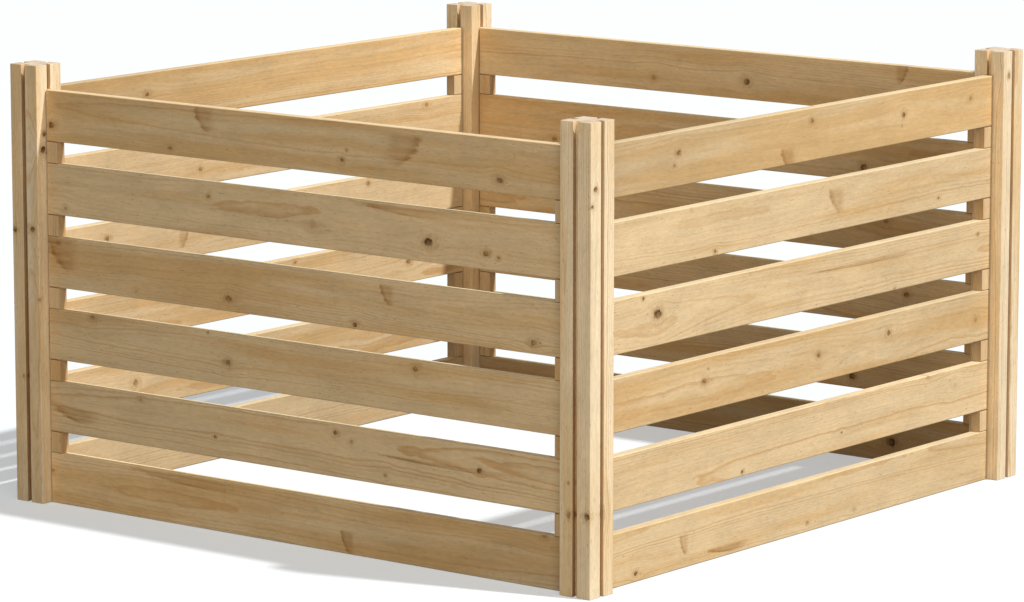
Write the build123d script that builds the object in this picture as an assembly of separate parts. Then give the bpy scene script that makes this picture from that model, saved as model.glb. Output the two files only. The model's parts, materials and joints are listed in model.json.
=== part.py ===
"""Slot-together wooden compost bin: four grooved corner posts and four slatted walls of loose boards.

Every board end carries a dovetail tongue that drops into a groove in a post. Short spacer blocks with
the same tongue sit between the boards at each end and hold the air gaps open. Nothing is nailed, so each
wall comes apart upwards, one course after another. Millimetres, +Z up, origin on the ground at the centre.
"""
import os

from build123d import *

# Bin
BIN_WIDTH = 1220.0
COURSES = 6

# Posts
POST_SIDE = 60.0
POST_HEIGHT = 743.5
POST_EDGE_EASE = 1.5

# Dovetail groove in each face of a post
GROOVE_MOUTH = 8.4
GROOVE_FLOOR = 13.0
GROOVE_DEPTH = 10.5

# Boards
BOARD_HEIGHT = 86.0
BOARD_THICKNESS = 18.0
BOARD_EDGE_EASE = 1.0

# Spacer blocks, cut from the same stock as the boards
SPACER_HEIGHT = 37.2
SPACER_REACH = 25.4

# Fit of the tongues in the grooves
SHOULDER_GAP = 2.0
TONGUE_SIDE_CLEARANCE = 0.35
TONGUE_END_CLEARANCE = 0.5

WALL_TURNS = {"front": 0, "right": 90, "back": 180, "left": 270}
POST_CORNERS = {
    "front_left": (-1, -1),
    "front_right": (1, -1),
    "back_right": (1, 1),
    "back_left": (-1, 1),
}

# Worked out from the sizes above
post_centre = (BIN_WIDTH - POST_SIDE) / 2
post_inner_face = BIN_WIDTH / 2 - POST_SIDE
course_pitch = BOARD_HEIGHT + SPACER_HEIGHT
tongue_length = GROOVE_DEPTH - TONGUE_END_CLEARANCE


def groove_width(depth):
    """Width of a groove at a depth below the face of the post."""
    return GROOVE_MOUTH + (GROOVE_FLOOR - GROOVE_MOUTH) * depth / GROOVE_DEPTH


def dovetail(neck, mouth, floor, depth):
    """Dovetail outline along +X: a straight neck up to X = 0, then a flare as far as the depth."""
    upper_side = [(-neck, mouth / 2), (0, mouth / 2), (depth, floor / 2)]
    lower_side = [(x, -y) for x, y in reversed(upper_side)]
    return make_face(Polyline(*upper_side, *lower_side, close=True))


def make_groove_outline():
    """Groove cut into a post from its face, with the neck run out past the face."""
    return dovetail(SHOULDER_GAP, GROOVE_MOUTH, GROOVE_FLOOR, GROOVE_DEPTH)


def make_tongue_outline():
    """Tongue on the end of a board or spacer, with X = 0 at the face of the post."""
    play = 2 * TONGUE_SIDE_CLEARANCE
    return dovetail(SHOULDER_GAP, GROOVE_MOUTH - play, groove_width(tongue_length) - play, tongue_length)


def make_post():
    """Square post with eased corners and a dovetail groove down the middle of each face."""
    square = Rectangle(POST_SIDE, POST_SIDE)
    section = chamfer(square.vertices(), POST_EDGE_EASE)
    groove = Rot(0, 0, 180) * Pos(-POST_SIDE / 2, 0) * make_groove_outline()
    for quarter in range(4):
        section -= Rot(0, 0, 90 * quarter) * groove
    return extrude(section, POST_HEIGHT)


def ease_long_edges(piece):
    """Takes the sharp corners off the edges that run the length of a board or spacer."""
    long_edges = piece.edges().filter_by(Axis.X)
    return chamfer(long_edges, BOARD_EDGE_EASE)


def make_board():
    """Board of one wall, lying along X with its lower edge at Z = 0 and a tongue on each end."""
    shoulder = post_inner_face - SHOULDER_GAP
    tongue = Pos(post_inner_face, 0) * make_tongue_outline()
    body = ease_long_edges(extrude(Rectangle(2 * shoulder, BOARD_THICKNESS), BOARD_HEIGHT))
    tongues = extrude(tongue + mirror(tongue, Plane.YZ), BOARD_HEIGHT)
    return body + tongues


def make_spacer():
    """Spacer block at the +X end of a wall, standing on the board below, with a tongue on its outer end."""
    length = SPACER_REACH - SHOULDER_GAP
    centre = post_inner_face - SHOULDER_GAP - length / 2
    block = ease_long_edges(extrude(Pos(centre, 0) * Rectangle(length, BOARD_THICKNESS), SPACER_HEIGHT))
    tongue = extrude(Pos(post_inner_face, 0) * make_tongue_outline(), SPACER_HEIGHT)
    return block + tongue


def place_in_wall(piece, turn, height):
    """Moves a piece from the bin's middle line out to one wall and up to its height."""
    return Rot(0, 0, turn) * Pos(0, -post_centre, height) * piece


def make_nodes():
    """All the pieces of the bin by name, with courses counted from the ground."""
    nodes = {}
    post = make_post()
    for corner, (side_x, side_y) in POST_CORNERS.items():
        nodes[f"{corner}_post"] = Pos(side_x * post_centre, side_y * post_centre, 0) * post

    board = make_board()
    spacer = make_spacer()
    spacer_pair = Compound(children=[spacer, mirror(spacer, Plane.YZ)])
    for wall, turn in WALL_TURNS.items():
        for course in range(1, COURSES + 1):
            foot = (course - 1) * course_pitch
            nodes[f"{wall}_board_{course}"] = place_in_wall(board, turn, foot)
            if course < COURSES:
                nodes[f"{wall}_spacers_{course}"] = place_in_wall(spacer_pair, turn, foot + BOARD_HEIGHT)
    return nodes


os.makedirs("parts", exist_ok=True)
for name, shape in make_nodes().items():
    shape.label = name
    export_step(shape, f"parts/{name}.step")
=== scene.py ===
"""Wooden compost bin of planed softwood, as an add-on: grooved posts, tongued boards and spacers.

Every piece is modelled in metres around the fixed frame, which gives its place and overall size.
"""
import json
import math
import random

import bmesh
import bpy
from mathutils import Matrix, Vector


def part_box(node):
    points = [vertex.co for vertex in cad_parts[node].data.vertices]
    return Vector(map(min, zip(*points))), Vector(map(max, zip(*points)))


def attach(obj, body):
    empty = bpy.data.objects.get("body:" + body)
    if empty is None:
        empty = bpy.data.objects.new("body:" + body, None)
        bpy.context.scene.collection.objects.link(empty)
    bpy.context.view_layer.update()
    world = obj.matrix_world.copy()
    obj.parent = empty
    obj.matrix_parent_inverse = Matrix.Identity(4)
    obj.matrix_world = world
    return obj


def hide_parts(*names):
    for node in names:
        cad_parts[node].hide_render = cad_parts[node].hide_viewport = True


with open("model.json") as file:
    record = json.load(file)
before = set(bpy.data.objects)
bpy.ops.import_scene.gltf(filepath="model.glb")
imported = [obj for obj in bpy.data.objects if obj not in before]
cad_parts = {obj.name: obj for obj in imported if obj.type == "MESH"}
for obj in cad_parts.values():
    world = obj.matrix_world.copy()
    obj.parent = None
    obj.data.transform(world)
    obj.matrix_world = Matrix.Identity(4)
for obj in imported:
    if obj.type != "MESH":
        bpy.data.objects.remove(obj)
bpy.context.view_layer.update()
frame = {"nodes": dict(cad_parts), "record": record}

bl_info = {
    "name": "Wooden Compost Bin",
    "version": (1, 0, 0),
    "blender": (4, 5, 0),
    "location": "View3D > Sidebar > Compost Bin",
    "description": "Builds a slot-together compost bin of planed softwood around its fixed frame",
    "category": "Object",
}

# Layout, read from the frame
WALL_TURNS = {"front": 0, "right": 90, "back": 180, "left": 270}
COURSES = sum(node.startswith("front_board_") for node in frame["nodes"])
BODY_OF_NODE = {
    node: body for body, nodes in frame["record"]["behaviour"]["bodies"].items() for node in nodes
}
BOARD_LOW, BOARD_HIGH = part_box("front_board_1")
SPACER_LOW, SPACER_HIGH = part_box("front_spacers_1")
POST_LOW, POST_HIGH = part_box("front_left_post")
BOARD_THICKNESS = BOARD_HIGH.y - BOARD_LOW.y
BOARD_HEIGHT = BOARD_HIGH.z - BOARD_LOW.z
SPACER_HEIGHT = SPACER_HIGH.z - SPACER_LOW.z
WALL_DISTANCE = -(BOARD_LOW.y + BOARD_HIGH.y) / 2
POST_SIDE = POST_HIGH.x - POST_LOW.x
POST_HEIGHT = POST_HIGH.z - POST_LOW.z
POST_FACE = -POST_HIGH.x

# Knots on the boards: place along the wall, height on the board, radius, darkness from 0 to 1
KNOT_SLOTS = 6
BOARD_KNOTS = {
    "left_board_6": [
        (-0.536, 0.028, 0.006, 0.8), (-0.270, 0.012, 0.003, 0.7), (0.096, 0.024, 0.004, 0.7),
        (0.106, 0.041, 0.003, 0.5), (0.416, 0.020, 0.006, 0.7)],
    "left_board_5": [
        (-0.188, 0.063, 0.004, 0.6), (-0.507, 0.013, 0.004, 0.5), (0.036, 0.038, 0.008, 0.3),
        (0.274, 0.032, 0.008, 1.0), (0.390, 0.026, 0.005, 0.7), (0.414, 0.021, 0.003, 0.6)],
    "left_board_4": [
        (-0.147, 0.021, 0.006, 0.7), (0.121, 0.007, 0.005, 0.8), (0.483, 0.018, 0.006, 0.65),
        (-0.524, 0.076, 0.003, 0.6), (-0.349, 0.013, 0.004, 0.3)],
    "left_board_3": [
        (-0.449, 0.081, 0.005, 0.6), (-0.193, 0.084, 0.002, 0.7), (-0.150, 0.039, 0.005, 0.65),
        (0.246, 0.073, 0.005, 0.7)],
    "left_board_2": [
        (-0.343, 0.077, 0.003, 0.5), (-0.178, 0.035, 0.003, 0.7), (0.080, 0.073, 0.004, 0.8),
        (0.113, 0.062, 0.004, 0.5), (0.184, 0.016, 0.004, 0.5), (0.376, 0.048, 0.005, 0.9)],
    "left_board_1": [(-0.546, 0.055, 0.003, 0.6), (0.505, 0.084, 0.005, 0.6)],
    "front_board_6": [
        (-0.356, 0.052, 0.005, 0.75), (-0.367, 0.033, 0.003, 0.6), (0.010, 0.064, 0.004, 0.7),
        (0.276, 0.047, 0.005, 0.8), (0.272, 0.029, 0.002, 0.5), (0.480, 0.055, 0.004, 0.6)],
    "front_board_5": [
        (-0.321, 0.081, 0.002, 0.4), (-0.257, 0.007, 0.004, 0.7), (0.385, 0.018, 0.003, 0.7)],
    "front_board_4": [
        (-0.408, 0.049, 0.009, 0.935), (-0.448, 0.080, 0.003, 0.8), (0.509, 0.063, 0.003, 0.6),
        (0.255, 0.003, 0.003, 0.5)],
    "front_board_3": [
        (-0.283, 0.049, 0.005, 0.7), (-0.273, 0.067, 0.002, 0.6), (0.035, 0.045, 0.005, 0.7),
        (0.239, 0.053, 0.005, 0.8), (0.505, 0.039, 0.005, 0.5)],
    "front_board_2": [
        (-0.178, 0.007, 0.003, 0.9), (0.361, 0.084, 0.003, 0.6), (0.443, 0.057, 0.006, 0.25),
        (0.105, 0.028, 0.002, 0.8)],
    "front_board_1": [
        (-0.465, 0.014, 0.004, 0.9), (-0.451, 0.011, 0.003, 0.4), (0.008, 0.015, 0.003, 0.6),
        (0.145, 0.016, 0.004, 0.3)],
    "back_board_6": [(0.314, 0.049, 0.005, 0.7)],
    "back_board_5": [(-0.443, 0.076, 0.005, 0.6), (0.180, 0.028, 0.004, 0.6)],
    "back_board_4": [(-0.276, 0.074, 0.004, 0.6), (0.420, 0.059, 0.005, 0.7)],
    "back_board_3": [(-0.071, 0.078, 0.004, 0.6), (-0.390, 0.039, 0.006, 0.7)],
    "right_board_6": [(0.148, 0.024, 0.006, 0.5), (-0.057, 0.032, 0.006, 0.8)],
    "right_board_5": [(-0.312, 0.024, 0.007, 0.8), (0.374, 0.016, 0.005, 0.6)],
    "right_board_1": [(-0.375, 0.035, 0.009, 0.9), (0.210, 0.050, 0.005, 0.6)],
}

# Brown wedges and streaks on the boards: place along the wall, height on the board, half length
# (below 0 if the clear side is the one further along) and half height
PATCH_SLOTS = 2
BOARD_PATCHES = {
    "left_board_6": [(-0.199, 0.065, 0.022, 0.020), (0.226, 0.050, -0.036, 0.024)],
    "left_board_5": [(0.215, 0.076, 0.085, 0.007)],
    "left_board_4": [(0.187, 0.062, 0.015, 0.016), (-0.520, 0.059, 0.035, 0.028)],
    "left_board_2": [(-0.496, 0.033, 0.050, 0.012), (0.300, 0.046, 0.150, 0.004)],
    "left_board_1": [(-0.258, 0.075, 0.120, 0.008), (0.102, 0.019, 0.014, 0.018)],
    "front_board_6": [(-0.060, 0.010, 0.020, 0.018)],
    "front_board_5": [(0.080, 0.049, 0.022, 0.020)],
    "front_board_4": [(0.140, 0.058, 0.160, 0.003)],
    "front_board_1": [(-0.337, 0.038, 0.012, 0.016), (-0.223, 0.012, 0.060, 0.006)],
    "back_board_4": [(0.223, 0.037, 0.014, 0.018)],
    "right_board_6": [(-0.390, 0.074, 0.014, 0.020)],
}

# Pieces that stand out by their tone: lightness, warmth, and lightness gained in a metre of grain.
# Entries noted below are painted light and shade, the rest the wood's own tone
TONES = {
    "front_board_6": (0.955, 0.4, 0.3),
    "front_board_5": (1.01, -0.3, 0.0),
    "front_board_4": (1.01, -0.3, 0.0),
    "front_board_3": (0.97, 0.25, 0.0),
    "front_board_2": (1.02, -0.25, 0.1),
    "left_board_6": (0.99, 0.25, -0.05),
    "left_board_5": (1.03, -0.3, 0.0),
    "left_board_4": (1.01, 0.2, 0.0),
    "left_board_3": (1.01, -0.1, 0.0),
    "left_board_2": (1.03, -0.3, 0.0),
    "left_board_1": (1.07, 0.4, -0.4),
    "back_board_6": (0.965, 0.48, -0.4),
    "back_board_5": (1.02, -0.15, 0.0),
    "back_board_4": (1.05, -0.3, 0.0),
    "back_board_3": (1.03, 0.1, 0.0),
    "right_board_6": (1.05, 0.1, 0.0),
    "right_board_5": (1.01, 0.3, 0.2),
    # Painted light and shade: lighter towards the back of the bin, darker towards the front, as
    # light falls on its inner face
    "right_board_4": (0.98, 0.1, 0.18),
    # Painted shade: darkened deep inside the bin at the bottom
    "right_board_1": (0.76, 0.2, 0.0),
    "front_left_post": (0.98, -0.1, 0.0),
    # Painted light: lightened where the fill lamp reaches it less
    "front_right_post": (1.03, -0.05, 0.0),
    "back_left_post": (0.98, 0.1, 0.0),
}

# Knots on the posts: height, bearing from the post's axis in degrees, radius, darkness
POST_KNOTS = {
    "front_left_post": [
        (0.130, 158, 0.005, 0.6), (0.130, 219, 0.005, 0.8), (0.132, 270, 0.005, 0.7),
        (0.180, 158, 0.002, 0.6), (0.640, 240, 0.004, 0.9), (0.614, 229, 0.003, 0.8)],
    "front_right_post": [
        (0.703, 245, 0.005, 0.6), (0.300, 20, 0.005, 0.7), (0.306, 95, 0.004, 0.6)],
    "back_right_post": [(0.420, 35, 0.006, 0.7), (0.424, 120, 0.005, 0.6), (0.160, 80, 0.003, 0.6)],
    "back_left_post": [
        (0.467, 208, 0.005, 0.8), (0.464, 141, 0.004, 0.8), (0.601, 243, 0.006, 0.9),
        (0.629, 247, 0.004, 0.8), (0.215, 163, 0.003, 0.5), (0.349, 225, 0.003, 0.5)],
}

# A mark out of sight, for the slots that a piece leaves empty
FAR_AWAY = (9.0, 9.0, 0.001, 0.001)

# What sets one piece of wood apart from the next lies between these
LIGHTNESS_RANGE = (0.96, 1.03)
WARMTH_RANGE = (-0.25, 0.25)
FIGURE_RANGE = (0.5, 1.3)
BOARD_PITH_ACROSS = (-0.04, 0.04)
BOARD_PITH_DEPTH = (0.02, 0.07)
BOARD_TAPER = (-0.012, 0.012)
POST_PITH = (-0.03, 0.03)
POST_TAPER = (-0.004, 0.004)
SEED_RANGE = (0.0, 9.0)
KNOT_COUNT = (2, KNOT_SLOTS)
KNOT_RADIUS = (0.002, 0.007)
KNOT_DARKNESS = (0.4, 0.9)
KNOT_END_MARGIN = 0.02
KNOT_EDGE_MARGIN = 0.008

# Noise in the wood: blotches to the metre along, across and through it, and their detail
WOOD_NOISE = {
    "drift": ((1.3, 6.0, 6.0), 1.0),
    "waver": ((22.0, 80.0, 80.0), 2.0),
    "band": ((0.8, 30.0, 30.0), 2.0),
    "broad": ((2.2, 32.0, 32.0), 2.0),
    "streak": ((4.0, 150.0, 150.0), 4.0),
    "mottle": ((70.0, 320.0, 320.0), 3.0),
    "fibre": ((32.0, 950.0, 950.0), 3.0),
    "cloud": ((12.0, 28.0, 28.0), 2.0),
    "fleck": ((110.0, 620.0, 620.0), 1.0),
    "crumble": ((220.0, 220.0, 220.0), 2.0),
}
SEED_SHIFTS = (3.1, 1.7, 2.3)

# Ring lines: how far they wander, when in a year each kind starts, is full, leaves and ends, and
# what is left of them in weak years and bands
DRIFT_REACH = 0.040
WAVER_REACH = 0.003
RING_SEED_SHIFT = 31.0
SUMMER_WOOD = (0.3, 0.85, 0.88, 1.0)
HAIRLINE = (0.55, 0.85, 0.9, 1.0)
HAIRLINE_VIGOUR = (0.6, 0.95)
HAIRLINE_SHARE = 0.7
BAND_EDGES = (-0.2, 0.2)
WEAK_YEAR = 0.2
WEAK_BAND = 0.3

# Fine marks: the noise at which each kind starts and is full, and its share of the colour
FINE_MARKS = {"streak": (0.05, 0.3, 0.35), "fibre": (0.02, 0.25, 0.5), "fleck": (0.14, 0.32, 0.7)}

# Golden bands: how much they vary, and how golden the wood is between them
GOLDEN_PLAY = 3.6
GOLDEN_MEAN = 0.3

# Knots: longer along the grain, which they bend. Darkness and radius turn their dark side
KNOT_STRETCH = 0.6
KNOT_BEND = 0.2
DARKNESS_TURN = 40.0
RADIUS_TURN = 3000.0
NO_KNOT_NEAR = 1e3
KNOT_SPREAD = 1.15
KNOT_CRUMBLE = 1.8
SIDE_CRUMBLE = 3.0
DARK_SIDE = (-0.8, 0.4)
PALE_SIDE = 0.7

# Parts of a knot: their reach in knot radii, the darkness that brings them out, and their share
HALO_REACH = (0.8, 3.2)
HALO_SHARE = 0.4
HEART_REACH = (0.5, 1.15)
HEART_DARKNESS = (0.0, 0.85)
RIM_REACH = (0.75, 0.3)
RIM_DARKNESS = (0.4, 0.95)
BLACK_HEART_DARKNESS = (0.6, 1.1)
BLACK_HEART_SHARE = 0.7

# Brown wedges, in halves of their length and height: their clear side, and where they fade
WEDGE_CRUMBLE = 0.5
WEDGE_BOW = 1.1
WEDGE_SIDE = (-0.1, 0.3)
WEDGE_RIDGE = (0.25, 0.35)
WEDGE_BODY = 0.5
WEDGE_END = (0.5, 1.3)
WEDGE_TOP = (0.5, 1.4)
WEDGE_STREAKS = 1.6
WEDGE_SHARE = 0.85

# How features of the wood change its light, its relief and its roughness
LIGHT_PLAY = {"fibre": 0.3, "mottle": 0.3, "streak": -0.15, "cloud": 0.3}
RELIEF = {"fibre": 1.2, "ring_line": 0.35, "streak": 0.4, "rim": -0.6}
ROUGHNESS_PLAY = {"fibre": 0.25, "ring_line": -0.06, "heart": -0.12, "end": 0.12}
BUMP = {"Strength": 0.35, "Distance": 0.0005}
GLOSS = 0.15

# What parts of the wood leave of its colour
GOLDEN_WOOD = (0.91, 0.80, 0.64)
LATEWOOD = (0.77, 0.60, 0.42)
FLECK = (0.50, 0.36, 0.22)
# Painted highlight: the level faces along a board's upper and lower edges are paled as if lit
PAINTED_HIGHLIGHT = (1.0, 1.13, 1.25)
PAINTED_HIGHLIGHT_SHARE = 0.5

# How dark the painted shade is in the grooves and on the spacers' inner ends, and how far down from
# the top the grooves are left unshaded, where the sun reaches in
GROOVE_WALL_SHADE = 0.85
GROOVE_FLOOR_SHADE = 0.75
SPACER_END_SHADE = 0.45
LIT_DEPTH = 0.03

# Rounded edges
ROUND_SEGMENTS = 5
EASE_SEGMENTS = 2
EASE_ANGLE = math.radians(35)

# Faces are told apart by these parts of their normals, and by distances in metres
LEVEL = 0.5
END_ON = 0.7
ROUNDED = (0.1, 0.95)
ROUNDING_ERROR = 1e-6
HAIR = 1e-4
SKIN = 1e-3

# Stage
KEY_DISTANCE = 3.0
FILL_SHAPE = {"shape": "RECTANGLE", "size": 4.0, "size_y": 3.0}
SENSOR_WIDTH = 36.0

# Rows of these take a place in a piece to its place along, across and through the wood
GRAIN_ALONG_WALL = Matrix(((1, 0, 0), (0, 0, 1), (0, 1, 0)))
GRAIN_UPRIGHT = Matrix(((0, 0, 1), (1, 0, 0), (0, 1, 0)))


class JoinerySizes(bpy.types.PropertyGroup):
    """Rounded edges of the wood, and the dovetail fit between the boards and the posts."""

    board_edge_radius: bpy.props.FloatProperty(
        name="Board edge radius", description="Rounding along the long edges of boards and spacers",
        default=0.0018, min=0.0005, max=0.006, unit="LENGTH")
    post_edge_radius: bpy.props.FloatProperty(
        name="Post edge radius", description="Rounding of the four upright corners of a post",
        default=0.0015, min=0.0005, max=0.008, unit="LENGTH")
    small_ease: bpy.props.FloatProperty(
        name="Small ease", description="Sandpaper rounding of every other sharp edge",
        default=0.0004, min=0.0, max=0.002, unit="LENGTH")
    groove_mouth: bpy.props.FloatProperty(
        name="Groove mouth", description="Width of a groove at the face of the post",
        default=0.0084, min=0.004, max=0.012, unit="LENGTH")
    groove_floor: bpy.props.FloatProperty(
        name="Groove floor", description="Width of a groove at its bottom",
        default=0.013, min=0.004, max=0.02, unit="LENGTH")
    groove_depth: bpy.props.FloatProperty(
        name="Groove depth", description="Depth of a groove below the face of the post",
        default=0.0105, min=0.004, max=0.02, unit="LENGTH")
    shoulder_gap: bpy.props.FloatProperty(
        name="Shoulder gap", description="Open joint between a board's end and the post",
        default=0.002, min=0.0, max=0.006, unit="LENGTH")
    side_clearance: bpy.props.FloatProperty(
        name="Tongue side clearance",
        description="Play between a tongue and each side of its groove",
        default=0.00035, min=0.0, max=0.001, unit="LENGTH")
    end_clearance: bpy.props.FloatProperty(
        name="Tongue end clearance",
        description="Play between a tongue's tip and the floor of its groove",
        default=0.0005, min=0.0, max=0.002, unit="LENGTH")
    spacer_reach: bpy.props.FloatProperty(
        name="Spacer reach", description="How far a spacer block stands in from the post",
        default=0.0254, min=0.01, max=0.06, unit="LENGTH")


class WoodLook(bpy.types.PropertyGroup):
    """Colours and grain of the bare softwood."""

    board_colour: bpy.props.FloatVectorProperty(
        name="Board wood", description="Pale wood between the ring lines of the boards",
        default=(0.777, 0.594, 0.353), subtype="COLOR")
    spacer_colour: bpy.props.FloatVectorProperty(
        name="Spacer wood", description="Pale wood between the ring lines of the spacer blocks",
        default=(0.777, 0.584, 0.347), subtype="COLOR")
    post_colour: bpy.props.FloatVectorProperty(
        name="Post wood", description="Pale wood between the ring lines of the posts",
        default=(0.96, 0.80, 0.555), subtype="COLOR")
    knot_colour: bpy.props.FloatVectorProperty(
        name="Knot", description="Brown heart of a knot",
        default=(0.38, 0.195, 0.052), subtype="COLOR")
    knot_rim_colour: bpy.props.FloatVectorProperty(
        name="Knot rim", description="Dark ring of bark and resin round a knot",
        default=(0.05, 0.02, 0.006), subtype="COLOR")
    stain_colour: bpy.props.FloatVectorProperty(
        name="Stain", description="What grown-over knots and resin leave of the wood's colour",
        default=(0.58, 0.44, 0.28), subtype="COLOR")
    post_end_colour: bpy.props.FloatVectorProperty(
        name="Post ends", description="What the sanded ends of a post leave of the wood's colour",
        default=(0.75, 0.77, 0.90), subtype="COLOR")
    board_end_colour: bpy.props.FloatVectorProperty(
        name="Board ends", description="What the rough ends of boards leave of the wood's colour",
        default=(0.74, 0.65, 0.54), subtype="COLOR")
    # Painted shade: this colour darkens the grooves, the joints at the posts, the spacers' seams
    # and their inner ends, where shade falls
    painted_shade_colour: bpy.props.FloatVectorProperty(
        name="Crevices", description="What grooves and closed joints leave of the wood's colour",
        default=(0.48, 0.37, 0.30), subtype="COLOR")
    board_ring_width: bpy.props.FloatProperty(
        name="Board ring width",
        description="Distance between the growth rings of boards and spacers",
        default=0.0038, min=0.001, max=0.01, unit="LENGTH")
    post_ring_width: bpy.props.FloatProperty(
        name="Post ring width", description="Distance between the growth rings of posts",
        default=0.0030, min=0.001, max=0.01, unit="LENGTH")
    board_ring_contrast: bpy.props.FloatProperty(
        name="Board ring contrast",
        description="How clearly the growth rings of boards and spacers show",
        default=0.56, min=0.0, max=1.0, subtype="FACTOR")
    post_ring_contrast: bpy.props.FloatProperty(
        name="Post ring contrast", description="How clearly the growth rings of posts show",
        default=0.8, min=0.0, max=1.0, subtype="FACTOR")
    roughness: bpy.props.FloatProperty(
        name="Roughness", description="Mean roughness of the planed surface",
        default=0.62, min=0.0, max=1.0, subtype="FACTOR")


class StageLook(bpy.types.PropertyGroup):
    """Floor, soft light and camera."""

    floor_size: bpy.props.FloatProperty(
        name="Floor size", description="Half the width of the square floor",
        default=30.0, min=2.0, unit="LENGTH")
    floor_drop: bpy.props.FloatProperty(
        name="Floor drop", description="How far the floor lies under the feet",
        default=0.0004, min=0.0, unit="LENGTH")
    floor_colour: bpy.props.FloatVectorProperty(
        name="Floor colour", description="Colour of the pale floor",
        default=(0.91, 0.965, 1.0), subtype="COLOR")
    floor_glow: bpy.props.FloatVectorProperty(
        name="Floor glow", description="Cool white that lifts the shadows on the floor",
        default=(0.945, 0.972, 1.0), subtype="COLOR")
    floor_bounce: bpy.props.FloatProperty(
        name="Floor bounce", description="How much light the floor gives back to the wood",
        default=0.13, min=0.0, max=1.0, subtype="FACTOR")
    floor_shade: bpy.props.FloatProperty(
        name="Floor shade", description="How much of a shadow on the floor shows",
        default=0.62, min=0.0, max=1.0, subtype="FACTOR")
    key_direction: bpy.props.FloatVectorProperty(
        name="Key direction", description="Way in which the key lamp's light travels",
        default=(-0.178, 0.65, -1.0), subtype="DIRECTION")
    key_strength: bpy.props.FloatProperty(
        name="Key strength", description="Strength of the high key lamp",
        default=3.25, min=0.0)
    key_softness: bpy.props.FloatProperty(
        name="Key softness", description="Spread of the key lamp's light",
        default=math.radians(2.2), min=0.0, max=1.0, subtype="ANGLE")
    fill_strength: bpy.props.FloatProperty(
        name="Fill strength", description="Power of the large soft light beside the camera",
        default=151.0, min=0.0, unit="POWER")
    fill_place: bpy.props.FloatVectorProperty(
        name="Fill place", description="Where the large soft light stands",
        default=(-4.6, -4.0, 2.2), subtype="TRANSLATION")
    fill_colour: bpy.props.FloatVectorProperty(
        name="Fill colour", description="Colour of the large soft light",
        default=(1.0, 0.902, 0.755), subtype="COLOR")
    sky_colour: bpy.props.FloatVectorProperty(
        name="Sky colour", description="Colour of the light that comes from all sides",
        default=(1.0, 0.98, 0.95), subtype="COLOR")
    sky_strength: bpy.props.FloatProperty(
        name="Sky strength", description="Even light that comes from all sides",
        default=0.24, min=0.0)
    camera_place: bpy.props.FloatVectorProperty(
        name="Camera place", description="Where the camera stands",
        default=(-6.574, -5.148, 1.745), subtype="TRANSLATION")
    camera_turn: bpy.props.FloatVectorProperty(
        name="Camera turn", description="How the camera is turned",
        default=(math.radians(80.34), 0.0, math.radians(-51.813)), subtype="EULER")
    camera_lens: bpy.props.FloatProperty(
        name="Camera lens", description="Focal length in millimetres on a sensor 36 mm wide",
        default=174.72, min=1.0)


def math_method(operation, is_reflected=False):
    """A method that puts a signal through a Math node, before or after any other value."""
    def method(self, *others):
        values = (*others, self) if is_reflected else (self, *others)
        return self.finish.math(operation, *values)

    return method


class Signal:
    """One socket of a node tree in the making. Arithmetic on it adds Math nodes."""

    def __init__(self, finish, socket):
        self.finish = finish
        self.socket = socket

    __add__ = __radd__ = math_method("ADD")
    __mul__ = __rmul__ = math_method("MULTIPLY")
    __sub__ = math_method("SUBTRACT")
    __rsub__ = math_method("SUBTRACT", is_reflected=True)
    __truediv__ = math_method("DIVIDE")
    __rtruediv__ = math_method("DIVIDE", is_reflected=True)
    __pow__ = math_method("POWER")
    lesser = math_method("MINIMUM")
    greater = math_method("MAXIMUM")
    below = math_method("LESS_THAN")
    sine = math_method("SINE")
    cosine = math_method("COSINE")

    def rise(self, low, high):
        """Smooth step from 0 at low to 1 at high."""
        return self.finish.node(
            "ShaderNodeMapRange", {"interpolation_type": "SMOOTHSTEP"},
            {"Value": self, "From Min": low, "From Max": high})

    def fall(self, full, gone):
        """Smooth step from 1 at full to 0 at gone."""
        return 1 - self.rise(full, gone)

    def season(self, start, full, leaving, gone):
        """1 for a time, with a soft start and end."""
        return self.rise(start, full) * self.fall(leaving, gone)

    def lifted(self, least):
        """A share from 0 to 1, turned into one from the least to 1."""
        return self * (1 - least) + least

    def hill(self, centre, width):
        """Rounded hill: 1 at its centre, and a quarter at the given width from it."""
        offset = (self - centre) / width
        return 1 / (1 + offset * offset) ** 2

    def other(self, output):
        """Another output of the same node."""
        return Signal(self.finish, self.socket.node.outputs[output])

    def parts(self):
        """The three parts of a vector."""
        first = self.finish.node("ShaderNodeSeparateXYZ", {}, {0: self})
        return first, first.other(1), first.other(2)


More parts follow.
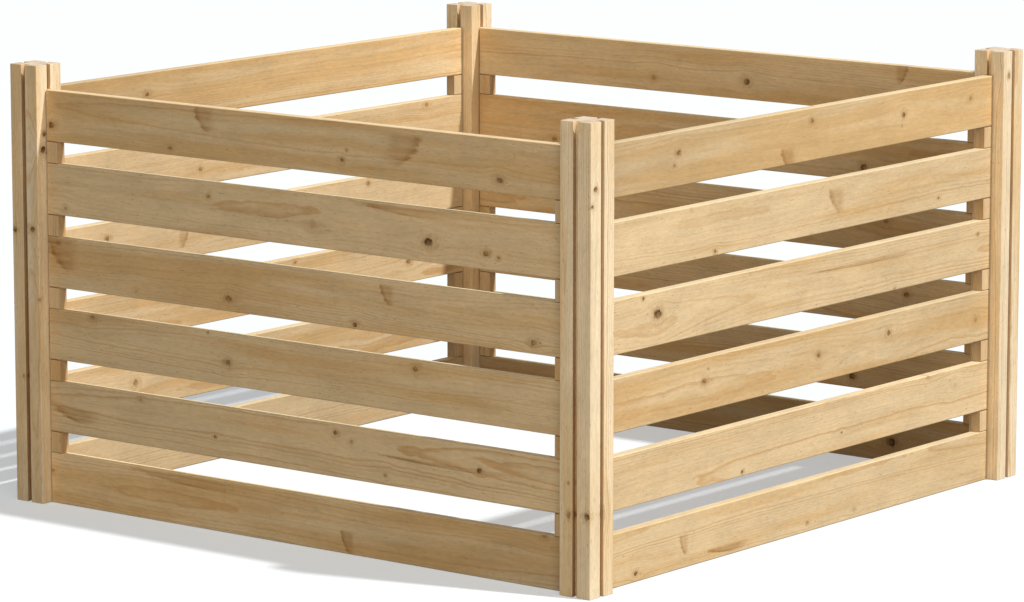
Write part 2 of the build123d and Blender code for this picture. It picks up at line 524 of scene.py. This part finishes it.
class Finish:
    """The node tree of a material or of the sky, in the making."""

    def __init__(self, owner):
        owner.use_nodes = True
        self.tree = owner.node_tree
        self.tree.nodes.clear()

    def node(self, kind, settings, sockets, output=0):
        """Adds a node, with its settings and its sockets' values or links, and gives an output."""
        made = self.tree.nodes.new(kind)
        for setting, value in settings.items():
            setattr(made, setting, value)
        for socket, value in sockets.items():
            if isinstance(value, Signal):
                self.tree.links.new(value.socket, made.inputs[socket])
            else:
                made.inputs[socket].default_value = value
        return Signal(self, made.outputs[output]) if made.outputs else None

    def math(self, operation, *values):
        return self.node("ShaderNodeMath", {"operation": operation}, dict(enumerate(values)))

    def vector(self, *parts):
        return self.node("ShaderNodeCombineXYZ", {}, dict(enumerate(parts)))

    def attribute(self, name, output="Vector"):
        return self.node("ShaderNodeAttribute", {"attribute_name": name}, {}, output)

    def noise(self, place, stretch, detail):
        """Noise around 0, with so many blotches to the metre along, across and through the wood."""
        settings = {"operation": "MULTIPLY"}
        stretched = self.node("ShaderNodeVectorMath", settings, {0: place, 1: stretch})
        sockets = {"Vector": stretched, "Scale": 1.0, "Detail": detail}
        return self.node("ShaderNodeTexNoise", {}, sockets) - 0.5

    def chance(self, number):
        """A random number from 0 to 1, the same each time for the same number."""
        return self.node("ShaderNodeTexWhiteNoise", {"noise_dimensions": "1D"}, {"W": number})

    def mix(self, first, second, share, blend="MIX"):
        """Colour that goes from the first to the second as the share goes from 0 to 1."""
        settings = {"data_type": "RGBA", "blend_type": blend}
        return self.node("ShaderNodeMix", settings, {0: share, 6: first, 7: second}, 2)


def paint(colour):
    """A colour with its alpha, as colour sockets take it."""
    return (*colour, 1.0)


def shaded(colour, *factors):
    """The colour with each of its parts turned down by a factor of its own."""
    return paint(part * factor for part, factor in zip(colour, factors))


class KnotField:
    """The nearest knot: its distance in knot radii, darkness, dark side, and push on the grain."""

    def __init__(self, finish, measure, place):
        self.distance, self.darkness, self.side, self.push = NO_KNOT_NEAR, 0.0, 0.0, 0.0
        for slot in range(KNOT_SLOTS):
            mark = finish.attribute(f"knot_{slot}")
            self.take(*measure(mark, *place), mark)

    def take(self, along_off, across_off, radius, mark):
        """Takes in a knot, given how far it is along and across the grain, and its radius."""
        distance = (along_off * along_off * KNOT_STRETCH + across_off * across_off) ** 0.5 / radius
        nearer = distance.below(self.distance)
        turn = mark.other("Alpha") * DARKNESS_TURN + radius * RADIUS_TURN
        side = (across_off * turn.sine() - along_off * turn.cosine()) / radius
        self.side = self.side + (side - self.side) * nearer
        self.darkness = self.darkness + (mark.other("Alpha") - self.darkness) * nearer
        self.distance = distance.lesser(self.distance)
        self.push = self.push + across_off / (distance * distance * KNOT_BEND + 1)


def knot_through_board(mark, along, across, _through):
    """How far off a knot is that runs through a board from face to face, and its radius."""
    knot_along, knot_across, radius = mark.parts()
    return along - knot_along, across - knot_across, radius


def knot_out_of_post(mark, along, across, through):
    """The same for a knot that runs from the axis of a post out to one side of it."""
    knot_along, bearing, radius = mark.parts()
    east, north = bearing.cosine(), bearing.sine()
    on_far_side = (across * east + through * north).below(0.0)
    return along - knot_along, through * east - across * north + on_far_side, radius


def brown_wedges(finish, along, across, rough):
    """Strength of a board's brown wedges, with one clear curved side and one that fades out."""
    strength = 0.0
    for slot in range(PATCH_SLOTS):
        mark = finish.attribute(f"patch_{slot}")
        wedge_along, wedge_across, half_length = mark.parts()
        sideways = (along - wedge_along) / half_length + rough * WEDGE_CRUMBLE
        upwards = (across - wedge_across) / mark.other("Alpha")
        below = (1 - upwards) / 2
        inwards = sideways + 1 - below * below * WEDGE_BOW
        wedge = inwards.rise(*WEDGE_SIDE) * inwards.hill(*WEDGE_RIDGE).lifted(WEDGE_BODY)
        faded = sideways.fall(*WEDGE_END) * (upwards * upwards).fall(*WEDGE_TOP)
        strength = (wedge * faded).greater(strength)
    return strength


class Grain:
    """The wood at a point of the surface: its tone, nearest knot, noise and ring lines."""

    def __init__(self, finish, measure_knot, ring_width):
        self.along, self.across, through = finish.attribute("grain").parts()
        log = finish.attribute("log")
        pith_across, pith_through, taper = log.parts()
        seed = log.other("Alpha")
        tone = finish.attribute("tone")
        lightness, self.warmth, figure = tone.parts()
        self.lightness = lightness + tone.other("Alpha") * self.along

        self.knot = KnotField(finish, measure_knot, (self.along, self.across, through))
        bent_across = self.across - self.knot.push
        places = zip((self.along, bent_across, through), SEED_SHIFTS)
        place = finish.vector(*(part + seed * shift for part, shift in places))
        self.noise = {name: finish.noise(place, *scale) for name, scale in WOOD_NOISE.items()}

        from_pith = ((bent_across - pith_across) ** 2 + (through - pith_through) ** 2) ** 0.5
        wander = self.noise["drift"] * DRIFT_REACH * figure + self.noise["waver"] * WAVER_REACH
        rings = (from_pith + self.along * taper + wander) / ring_width
        year = finish.math("FRACT", rings)
        vigour = finish.chance(finish.math("FLOOR", rings) + seed * RING_SEED_SHIFT)
        band = self.noise["band"].rise(*BAND_EDGES)
        summer = year.season(*SUMMER_WOOD)
        self.ring_line = summer * vigour.lifted(WEAK_YEAR) * band.lifted(WEAK_BAND)
        self.hairline = year.season(*HAIRLINE) * vigour.rise(*HAIRLINE_VIGOUR)

    def fine_marks(self, kind):
        """How much of the colour one kind of fine mark takes."""
        start, full, share = FINE_MARKS[kind]
        return self.noise[kind].rise(start, full) * share


def tint_clear_wood(finish, grain, colour, ring_contrast):
    """Colour of the wood between the knots: golden bands, ring lines and fine marks."""
    golden = (grain.noise["broad"] * GOLDEN_PLAY + grain.warmth + GOLDEN_MEAN).rise(0.0, 1.0)
    tint = finish.mix(paint(colour), shaded(colour, *GOLDEN_WOOD), golden)
    ring_lines = (grain.ring_line + grain.hairline * HAIRLINE_SHARE) * ring_contrast
    for share in (ring_lines, grain.fine_marks("streak"), grain.fine_marks("fibre")):
        tint = finish.mix(tint, shaded(colour, *LATEWOOD), share)
    return finish.mix(tint, shaded(colour, *FLECK), grain.fine_marks("fleck"))


def tint_knots(finish, grain, wood, tint):
    """Adds the knots: stained halo, brown heart, dark rim on one side. Also gives heart and rim."""
    knot, crumble = grain.knot, grain.noise["crumble"]
    strength = knot.darkness.rise(*HEART_DARKNESS)
    ragged = knot.distance * (KNOT_SPREAD + crumble * KNOT_CRUMBLE)
    dark_side = (knot.side + crumble * SIDE_CRUMBLE).rise(*DARK_SIDE)
    halo = ragged.fall(*HALO_REACH) * strength
    heart = ragged.fall(*HEART_REACH) * dark_side.lifted(PALE_SIDE) * strength
    rim = ragged.hill(*RIM_REACH) * dark_side * knot.darkness.rise(*RIM_DARKNESS)
    black = knot.darkness.rise(*BLACK_HEART_DARKNESS) * BLACK_HEART_SHARE
    rim_colour = paint(wood.knot_rim_colour)
    tint = finish.mix(tint, paint(wood.stain_colour), halo * HALO_SHARE, "MULTIPLY")
    tint = finish.mix(tint, finish.mix(paint(wood.knot_colour), rim_colour, black), heart)
    return finish.mix(tint, rim_colour, rim), heart, rim


def weighed(features, weights, start):
    """Sum of features, each times its weight, on top of a start."""
    return sum((features[name] * weight for name, weight in weights.items()), start)


def make_wood(name, wood, colour, end_colour, ring_width, ring_contrast, measure_knot, has_wedges):
    """Planed softwood: growth rings, fibres, knots, brown wedges and end grain, with a painted
    highlight on board edges and painted shade in grooves and joints.
    """
    material = bpy.data.materials.new(name)
    finish = Finish(material)
    grain = Grain(finish, measure_knot, ring_width)
    streak, crumble = grain.noise["streak"], grain.noise["crumble"]
    # End grain, the painted highlight on board edges, and painted shade
    end, edge, painted_shade = (finish.attribute(mark, "Fac") for mark in ("end", "edge", "painted_shade"))

    tint = tint_clear_wood(finish, grain, colour, ring_contrast)
    if has_wedges:
        brown = brown_wedges(finish, grain.along, grain.across, crumble + streak)
        brown = brown * (streak * WEDGE_STREAKS + WEDGE_SHARE)
        tint = finish.mix(tint, paint(wood.stain_colour), brown, "MULTIPLY")
    tint, heart, rim = tint_knots(finish, grain, wood, tint)
    # Painted highlight on the upper and lower edges of the boards
    tint = finish.mix(tint, shaded(colour, *PAINTED_HIGHLIGHT), edge * PAINTED_HIGHLIGHT_SHARE)
    tint = finish.mix(tint, paint(end_colour), end, "MULTIPLY")
    # Painted shade in the grooves and joints, and on the spacers' seams and inner ends
    tint = finish.mix(tint, paint(wood.painted_shade_colour), painted_shade, "MULTIPLY")

    features = grain.noise | {"ring_line": grain.ring_line, "heart": heart, "rim": rim, "end": end}
    light = grain.lightness * weighed(features, LIGHT_PLAY, 1)
    tint = finish.node("ShaderNodeHueSaturation", {}, {"Value": light, "Color": tint})
    normal = finish.node("ShaderNodeBump", {}, BUMP | {"Height": weighed(features, RELIEF, 0)})
    roughness = weighed(features, ROUGHNESS_PLAY, wood.roughness)
    shader = finish.node("ShaderNodeBsdfPrincipled", {}, {
        "Base Color": tint, "Roughness": roughness, "Specular IOR Level": GLOSS, "Normal": normal})
    finish.node("ShaderNodeOutputMaterial", {}, {"Surface": shader})
    return material


def raise_outline(mesh, points, low, high):
    """Extrudes a flat outline from one height to another."""
    face = mesh.faces.new([mesh.verts.new((x, y, low)) for x, y in points])
    grown = bmesh.ops.extrude_face_region(mesh, geom=[face])
    top = [item for item in grown["geom"] if isinstance(item, bmesh.types.BMVert)]
    bmesh.ops.translate(mesh, verts=top, vec=(0.0, 0.0, high - low))


def round_edges(mesh, edges, radius):
    """Rounds the given edges with a smooth arc."""
    bmesh.ops.bevel(
        mesh, geom=edges, offset=radius, offset_type="OFFSET", affect="EDGES",
        segments=ROUND_SEGMENTS, profile=0.5, material=-1)


def round_long_edges(mesh, radius):
    """Rounds the edges that run the length of a board or spacer along its two faces."""
    def on_face(vert):
        return math.isclose(abs(vert.co.y), BOARD_THICKNESS / 2, abs_tol=ROUNDING_ERROR)

    def lies_level(edge):
        start, end = (vert.co for vert in edge.verts)
        return abs(start.x - end.x) > abs(start.z - end.z)

    level_edges = [edge for edge in mesh.edges if lies_level(edge)]
    edges = [edge for edge in level_edges if all(on_face(vert) for vert in edge.verts)]
    round_edges(mesh, edges, radius)


def half_turn(points):
    """The outline turned half round, for the other end of a wall."""
    return [(-x, -y) for x, y in points]


def tongued_end(joinery):
    """Outline of a piece's end at the +X post: shoulder, neck, flared tongue and back again."""
    neck = joinery.groove_mouth / 2 - joinery.side_clearance
    reach = joinery.groove_depth - joinery.end_clearance
    flare = (joinery.groove_floor - joinery.groove_mouth) / 2 * reach / joinery.groove_depth
    shoulder = POST_FACE - joinery.shoulder_gap
    side = [(shoulder, BOARD_THICKNESS / 2), (shoulder, neck), (POST_FACE, neck)]
    side.append((POST_FACE + reach, neck + flare))
    return side + [(x, -y) for x, y in reversed(side)]


def shape_board(joinery):
    """One board, centred, along X, with a tongue on each end."""
    mesh = bmesh.new()
    end = tongued_end(joinery)
    raise_outline(mesh, end + half_turn(end), -BOARD_HEIGHT / 2, BOARD_HEIGHT / 2)
    round_long_edges(mesh, joinery.board_edge_radius)
    mark_joints(mesh, POST_FACE - joinery.shoulder_gap)
    mark_highlit_edges(mesh)
    return mesh


def shape_spacer_pair(joinery):
    """The two spacer blocks of one course, centred, along X, each tongued on its outer end."""
    mesh = bmesh.new()
    inner_end = POST_FACE - joinery.spacer_reach
    half = BOARD_THICKNESS / 2
    block = tongued_end(joinery) + [(inner_end, -half), (inner_end, half)]
    for outline in (block, half_turn(block)):
        raise_outline(mesh, outline, -SPACER_HEIGHT / 2, SPACER_HEIGHT / 2)
    round_long_edges(mesh, joinery.board_edge_radius)
    mark_joints(mesh, POST_FACE - joinery.shoulder_gap)
    mark_spacer_shade(mesh, inner_end)
    return mesh


def shape_post(joinery):
    """One post, standing on its axis, with a dovetail groove down the middle of each face."""
    mesh = bmesh.new()
    face = POST_SIDE / 2
    floor = face - joinery.groove_depth
    mouth, bottom = joinery.groove_mouth / 2, joinery.groove_floor / 2
    side = [(-face, -face), (-mouth, -face), (-bottom, -floor), (bottom, -floor), (mouth, -face)]
    quarters = [Matrix.Rotation(math.radians(90 * quarter), 2) for quarter in range(4)]
    outline = [turn @ Vector(point) for turn in quarters for point in side]
    raise_outline(mesh, outline, 0.0, POST_HEIGHT)

    def is_corner(vert):
        return math.isclose(abs(vert.co.x), abs(vert.co.y), abs_tol=ROUNDING_ERROR)

    corners = [edge for edge in mesh.edges if all(is_corner(vert) for vert in edge.verts)]
    round_edges(mesh, corners, joinery.post_edge_radius)
    everything = [*mesh.verts, *mesh.edges, *mesh.faces]
    # The cut lets the painted shade on the groove walls fade out towards the top, where the sun
    # reaches in
    lit_above = (0.0, 0.0, POST_HEIGHT - LIT_DEPTH)
    bmesh.ops.bisect_plane(mesh, geom=everything, plane_co=lit_above, plane_no=(0.0, 0.0, 1.0))
    mesh.normal_update()
    mark_grooves(mesh, joinery.groove_depth)
    return mesh


def is_level(face):
    """Whether a face lies on top of a piece or underneath it."""
    return abs(face.normal.z) > LEVEL


def mark_grooves(mesh, depth):
    """Paints shade into a post's grooves: on the walls of two of them, fading out at the sunlit
    top, and deepening towards the floor in the other two.
    """
    painted_shade = mesh.loops.layers.float.new("painted_shade")
    for face in mesh.faces:
        middle = face.calc_center_median()
        is_sunk = max(abs(middle.x), abs(middle.y)) < POST_SIDE / 2 - SKIN
        if is_level(face) or not is_sunk:
            continue
        for loop in face.loops:
            if abs(middle.x) > abs(middle.y):
                is_at_top = loop.vert.co.z > POST_HEIGHT - HAIR
                loop[painted_shade] = 0.0 if is_at_top else GROOVE_WALL_SHADE * abs(face.normal.y)
            else:
                loop[painted_shade] = GROOVE_FLOOR_SHADE * (POST_SIDE / 2 - abs(loop.vert.co.y)) / depth


def mark_joints(mesh, shoulder):
    """Paints shade onto the shoulders and tongues, which close up in a joint where shade falls."""
    painted_shade = mesh.faces.layers.float.new("painted_shade")
    mesh.normal_update()
    for face in mesh.faces:
        is_outside = abs(face.calc_center_median().x) > shoulder - HAIR
        face[painted_shade] = float(is_outside and not is_level(face))


def mark_spacer_shade(mesh, inner_end):
    """Paints shade onto the rounded edges of the spacers, along their seams with the boards, and
    lighter shade onto their inner ends.
    """
    painted_shade = mesh.faces.layers.float["painted_shade"]
    least, most = ROUNDED
    for face in mesh.faces:
        if abs(face.normal.x) < least < abs(face.normal.y) < most:
            face[painted_shade] = 1.0
        elif abs(face.calc_center_median().x) < inner_end + HAIR:
            face[painted_shade] = SPACER_END_SHADE


def mark_highlit_edges(mesh):
    """Marks the upper and lower edges of a board for a painted highlight, which makes them paler
    than its faces.
    """
    edge = mesh.faces.layers.float.new("edge")
    for face in mesh.faces:
        face[edge] = float(is_level(face))


def mark_grain(mesh, grain_axes):
    """Stores where each point lies along, across and through the wood, and marks the end grain."""
    grain = mesh.verts.layers.float_vector.new("grain")
    for vert in mesh.verts:
        vert[grain] = grain_axes @ vert.co
    bmesh.ops.recalc_face_normals(mesh, faces=mesh.faces)
    end = mesh.faces.layers.float.new("end")
    for face in mesh.faces:
        face[end] = float(abs((grain_axes @ face.normal).x) > END_ON)
        face.smooth = True


def store_marks(data, marks):
    """Gives every point of a mesh the same four numbers under each name."""
    for name, numbers in marks.items():
        layer = data.attributes.new(name, "FLOAT_COLOR", "POINT")
        layer.data.foreach_set("color", list(numbers) * len(data.vertices))


def add_object(name, data):
    """Puts an object into the scene."""
    made = bpy.data.objects.new(name, data)
    bpy.context.collection.objects.link(made)
    return made


def add_mesh(name, shape, material):
    """Puts an object of one shape and one material into the scene."""
    data = bpy.data.meshes.new(name)
    shape.to_mesh(data)
    shape.free()
    data.materials.append(material)
    return add_object(name, data)


def add_piece(node, shape, grain_axes, placement, marks, material):
    """Makes the piece that stands for a node, and lets it ride on the node's body."""
    mark_grain(shape, grain_axes)
    bmesh.ops.transform(shape, matrix=placement, verts=shape.verts)
    piece = add_mesh(f"{node}_wood", shape, material)
    store_marks(piece.data, marks)
    ease = piece.modifiers.new("Small ease", "BEVEL")
    ease.width = bpy.context.scene.bin_joinery.small_ease
    ease.segments = EASE_SEGMENTS
    ease.limit_method = "ANGLE"
    ease.angle_limit = EASE_ANGLE
    piece.modifiers.new("Flat faces", "WEIGHTED_NORMAL")
    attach(piece, BODY_OF_NODE[node])
    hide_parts(node)


def course_nodes(kind, courses):
    """Every wall with the nodes of its courses, from the ground up."""
    for wall in WALL_TURNS:
        for course in range(1, courses + 1):
            yield wall, f"{wall}_{kind}_{course}"


def place_in_wall(wall, node):
    """Where a centred piece goes: out to its wall, and up to the height of its node."""
    low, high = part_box(node)
    turn = Matrix.Rotation(math.radians(WALL_TURNS[wall]), 4, "Z")
    return turn @ Matrix.Translation((0.0, -WALL_DISTANCE, (low.z + high.z) / 2))


def draw_tone(node, dice):
    """Lightness, warmth and liveliness of a piece, and the slope of its lightness."""
    lightness, warmth, figure = (
        dice.uniform(*limits) for limits in (LIGHTNESS_RANGE, WARMTH_RANGE, FIGURE_RANGE))
    lightness, warmth, slope = TONES.get(node, (lightness, warmth, 0.0))
    return lightness, warmth, figure, slope


def draw_log(dice):
    """Where in its log a board was sawn: pith to one side of it, taper of the log, and a seed."""
    pith_through = dice.choice((-1, 1)) * dice.uniform(*BOARD_PITH_DEPTH)
    pith_across = dice.uniform(*BOARD_PITH_ACROSS)
    return pith_across, pith_through, dice.uniform(*BOARD_TAPER), dice.uniform(*SEED_RANGE)


def draw_knots(dice):
    """A few knots for a board without any of its own."""
    reach = POST_FACE - KNOT_END_MARGIN
    heights = (KNOT_EDGE_MARGIN, BOARD_HEIGHT - KNOT_EDGE_MARGIN)
    limits = ((-reach, reach), heights, KNOT_RADIUS, KNOT_DARKNESS)
    return [tuple(dice.uniform(*pair) for pair in limits) for _ in range(dice.randint(*KNOT_COUNT))]


def slot_marks(kind, marks, count, middle):
    """Names a fixed number of marks, measured from the middle, with spare ones out of sight."""
    filled = (list(marks) + [FAR_AWAY] * count)[:count]
    return {
        f"{kind}_{slot}": (along, up - middle, *rest)
        for slot, (along, up, *rest) in enumerate(filled)}


def board_marks(node):
    """All that sets one board apart from the next."""
    dice = random.Random(node)
    marks = {"log": draw_log(dice), "tone": draw_tone(node, dice)}
    knots = BOARD_KNOTS.get(node) or draw_knots(dice)
    marks |= slot_marks("knot", knots, KNOT_SLOTS, BOARD_HEIGHT / 2)
    return marks | slot_marks("patch", BOARD_PATCHES.get(node, []), PATCH_SLOTS, BOARD_HEIGHT / 2)


def spacer_marks(node):
    """All that sets one pair of spacers apart from the next. They are cut from clear wood."""
    dice = random.Random(node)
    marks = {"log": draw_log(dice), "tone": draw_tone(node, dice)}
    return marks | slot_marks("knot", [], KNOT_SLOTS, 0.0)


def post_marks(node):
    """All that sets one post apart from the next."""
    dice = random.Random(node)
    pith = dice.uniform(*POST_PITH), dice.uniform(*POST_PITH)
    tone = draw_tone(node, dice)
    marks = {"log": (*pith, dice.uniform(*POST_TAPER), dice.uniform(*SEED_RANGE)), "tone": tone}
    knots = [(height, math.radians(bearing), *rest) for height, bearing, *rest in POST_KNOTS[node]]
    return marks | slot_marks("knot", knots, KNOT_SLOTS, 0.0)


class BIN_OT_build_posts(bpy.types.Operator):
    """Builds the four corner posts with a dovetail groove in each face"""

    bl_idname = "compost_bin.build_posts"
    bl_label = "Corner Posts"

    def execute(self, context):
        wood = context.scene.bin_wood
        material = make_wood(
            "post_wood", wood, wood.post_colour, wood.post_end_colour,
            wood.post_ring_width, wood.post_ring_contrast, knot_out_of_post, has_wedges=False)
        for node in POST_KNOTS:
            low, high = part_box(node)
            middle = (low + high) / 2
            placement = Matrix.Translation((middle.x, middle.y, low.z))
            shape = shape_post(context.scene.bin_joinery)
            add_piece(node, shape, GRAIN_UPRIGHT, placement, post_marks(node), material)
        return {"FINISHED"}


class BIN_OT_build_boards(bpy.types.Operator):
    """Builds the boards of all four walls, each with a tongue on both ends"""

    bl_idname = "compost_bin.build_boards"
    bl_label = "Wall Boards"

    def execute(self, context):
        wood = context.scene.bin_wood
        material = make_wood(
            "board_wood", wood, wood.board_colour, wood.board_end_colour,
            wood.board_ring_width, wood.board_ring_contrast, knot_through_board, has_wedges=True)
        for wall, node in course_nodes("board", COURSES):
            shape = shape_board(context.scene.bin_joinery)
            placement, marks = place_in_wall(wall, node), board_marks(node)
            add_piece(node, shape, GRAIN_ALONG_WALL, placement, marks, material)
        return {"FINISHED"}


class BIN_OT_build_spacers(bpy.types.Operator):
    """Builds the pairs of spacer blocks that hold the boards apart"""

    bl_idname = "compost_bin.build_spacers"
    bl_label = "Spacer Blocks"

    def execute(self, context):
        wood = context.scene.bin_wood
        material = make_wood(
            "spacer_wood", wood, wood.spacer_colour, wood.board_end_colour,
            wood.board_ring_width, wood.board_ring_contrast, knot_through_board, has_wedges=False)
        for wall, node in course_nodes("spacers", COURSES - 1):
            shape = shape_spacer_pair(context.scene.bin_joinery)
            placement, marks = place_in_wall(wall, node), spacer_marks(node)
            add_piece(node, shape, GRAIN_UPRIGHT, placement, marks, material)
        return {"FINISHED"}


def rays_that_show(finish):
    """1 for rays that show the surroundings to the camera, straight or by gloss or glass."""
    camera = finish.node("ShaderNodeLightPath", {}, {}, "Is Camera Ray")
    glossy, through = (camera.other(f"Is {kind} Ray") for kind in ("Glossy", "Transmission"))
    return camera.greater(glossy).greater(through)


def make_floor_finish(stage):
    """Pale floor that the camera sees as white, with the shadows that fall on it."""
    material = bpy.data.materials.new("pale_floor")
    finish = Finish(material)
    matt = finish.node("ShaderNodeBsdfDiffuse", {}, {"Color": paint([stage.floor_bounce] * 3)})
    pale = finish.node("ShaderNodeBsdfDiffuse", {}, {"Color": paint(stage.floor_colour)})
    glow = finish.node("ShaderNodeEmission", {}, {"Color": paint(stage.floor_glow)})
    white = finish.node("ShaderNodeMixShader", {}, {0: stage.floor_shade, 1: glow, 2: pale})
    shown = finish.node("ShaderNodeMixShader", {}, {0: rays_that_show(finish), 1: matt, 2: white})
    finish.node("ShaderNodeOutputMaterial", {}, {"Surface": shown})
    return material


def add_floor(stage):
    """Square floor just under the feet of the bin."""
    mesh = bmesh.new()
    bmesh.ops.create_grid(mesh, x_segments=1, y_segments=1, size=stage.floor_size)
    bmesh.ops.translate(mesh, verts=mesh.verts, vec=(0.0, 0.0, -stage.floor_drop))
    floor = add_mesh("floor", mesh, make_floor_finish(stage))


def add_sky(stage):
    """Even light from all sides, which the camera sees as white."""
    world = bpy.data.worlds.new("soft_sky")
    finish = Finish(world)
    light = finish.node("ShaderNodeBackground", {}, {
        "Color": paint(stage.sky_colour), "Strength": stage.sky_strength})
    white = finish.node("ShaderNodeBackground", {}, {"Color": paint([1.0] * 3)})
    sky = finish.node("ShaderNodeMixShader", {}, {0: rays_that_show(finish), 1: light, 2: white})
    finish.node("ShaderNodeOutputWorld", {}, {"Surface": sky})
    bpy.context.scene.world = world


def add_lamp(name, kind, place, aim, settings):
    """A lamp at a place, shining along a direction, that the camera doesn't see."""
    lamp = bpy.data.lights.new(name, kind)
    for setting, value in settings.items():
        setattr(lamp, setting, value)
    holder = add_object(name, lamp)
    holder.location = place
    holder.rotation_euler = Vector(aim).to_track_quat("-Z", "Y").to_euler()
    holder.visible_camera = False


def add_lamps(stage):
    """A high key lamp, and a large soft light beside the camera."""
    direction = Vector(stage.key_direction)
    key = {"energy": stage.key_strength, "angle": stage.key_softness}
    add_lamp("key", "SUN", -KEY_DISTANCE * direction, direction, key)
    place = Vector(stage.fill_place)
    fill = FILL_SHAPE | {"energy": stage.fill_strength, "color": stage.fill_colour}
    add_lamp("fill", "AREA", place, -place, fill)


def add_camera(stage):
    """The camera at the photograph's angle."""
    lens = bpy.data.cameras.new("camera")
    lens.sensor_fit = "HORIZONTAL"
    lens.sensor_width = SENSOR_WIDTH
    lens.lens = stage.camera_lens
    holder = add_object("camera", lens)
    holder.location = stage.camera_place
    holder.rotation_euler = stage.camera_turn
    bpy.context.scene.camera = holder


class BIN_OT_build_stage(bpy.types.Operator):
    """Sets out the pale floor, the soft light and the camera"""

    bl_idname = "compost_bin.build_stage"
    bl_label = "Stage"

    def execute(self, context):
        stage = context.scene.bin_stage
        add_floor(stage)
        add_sky(stage)
        add_lamps(stage)
        add_camera(stage)
        context.scene.view_settings.view_transform = "Standard"
        return {"FINISHED"}


BUILD_STEPS = (BIN_OT_build_posts, BIN_OT_build_boards, BIN_OT_build_spacers, BIN_OT_build_stage)
SETTINGS = {"bin_joinery": JoinerySizes, "bin_wood": WoodLook, "bin_stage": StageLook}


class BIN_PT_sidebar(bpy.types.Panel):
    """Lists the steps that build the bin, and the sizes and colours that they use"""

    bl_idname = "BIN_PT_sidebar"
    bl_label = "Compost Bin"
    bl_space_type = "VIEW_3D"
    bl_region_type = "UI"
    bl_category = "Compost Bin"

    def draw(self, context):
        for step in BUILD_STEPS:
            self.layout.operator(step.bl_idname)
        for setting, group in SETTINGS.items():
            box = self.layout.box()
            for name in group.__annotations__:
                box.prop(getattr(context.scene, setting), name)


def register():
    for cls in (*SETTINGS.values(), *BUILD_STEPS, BIN_PT_sidebar):
        bpy.utils.register_class(cls)
    for setting, group in SETTINGS.items():
        setattr(bpy.types.Scene, setting, bpy.props.PointerProperty(type=group))


def unregister():
    for setting in SETTINGS:
        delattr(bpy.types.Scene, setting)
    for cls in (BIN_PT_sidebar, *BUILD_STEPS, *SETTINGS.values()):
        bpy.utils.unregister_class(cls)


def main():
    register()
    bpy.ops.compost_bin.build_posts()
    bpy.ops.compost_bin.build_boards()
    bpy.ops.compost_bin.build_spacers()
    bpy.ops.compost_bin.build_stage()


if __name__ == "__main__":
    main()
